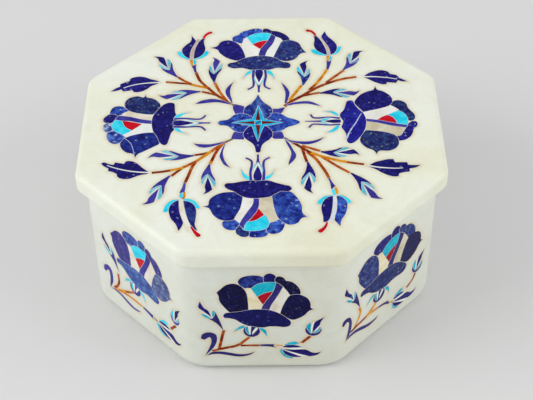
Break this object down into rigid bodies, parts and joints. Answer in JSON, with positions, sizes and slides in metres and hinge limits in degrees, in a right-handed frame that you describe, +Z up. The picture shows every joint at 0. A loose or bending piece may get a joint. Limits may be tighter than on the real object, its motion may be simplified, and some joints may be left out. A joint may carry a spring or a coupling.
{
  "type": "keepsake box",
  "caption": "Octagonal marble keepsake box with a lift-off lid, inlaid with a star and flower sprays in coloured stone; stands on its flat underside.",
  "frame": {"origin": "centre of the underside", "axes": "+Z up, through the middle of the lid; -Y is the front wall that faces the viewer; +X to the right of it"},
  "size_m": [0.127, 0.127, 0.0625],
  "materials": {
    "marble": "polished white marble, faint yellow tint",
    "blue_stone_inlay": "polished deep blue stones with turquoise, red, white and cream stones set among them",
    "stem_stone_inlay": "polished red-brown and ochre stone strips, with blue buds and leaves"
  },
  "bodies": {
    "root": {"lid": "marble", "lid_star": "blue_stone_inlay", "lid_flower_back": "blue_stone_inlay", "lid_flower_left": "blue_stone_inlay", "lid_flower_front": "blue_stone_inlay", "lid_flower_right": "blue_stone_inlay", "lid_spray_back_right": "stem_stone_inlay", "lid_leaf_back_right": "blue_stone_inlay", "lid_spray_back_left": "stem_stone_inlay", "lid_leaf_back_left": "blue_stone_inlay", "lid_spray_front_left": "stem_stone_inlay", "lid_leaf_front_left": "blue_stone_inlay", "lid_spray_front_right": "stem_stone_inlay", "lid_leaf_front_right": "blue_stone_inlay", "wall_flower_right": "blue_stone_inlay", "wall_sprig_right": "stem_stone_inlay", "wall_flower_back_right": "blue_stone_inlay", "wall_sprig_back_right": "stem_stone_inlay", "wall_flower_back": "blue_stone_inlay", "wall_sprig_back": "stem_stone_inlay", "wall_flower_back_left": "blue_stone_inlay", "wall_sprig_back_left": "stem_stone_inlay", "wall_flower_left": "blue_stone_inlay", "wall_sprig_left": "stem_stone_inlay", "wall_flower_front_left": "blue_stone_inlay", "wall_sprig_front_left": "stem_stone_inlay", "wall_flower_front": "blue_stone_inlay", "wall_sprig_front": "stem_stone_inlay", "wall_flower_front_right": "blue_stone_inlay", "wall_sprig_front_right": "stem_stone_inlay", "box_base": "marble"}
  },
  "joints": []
}
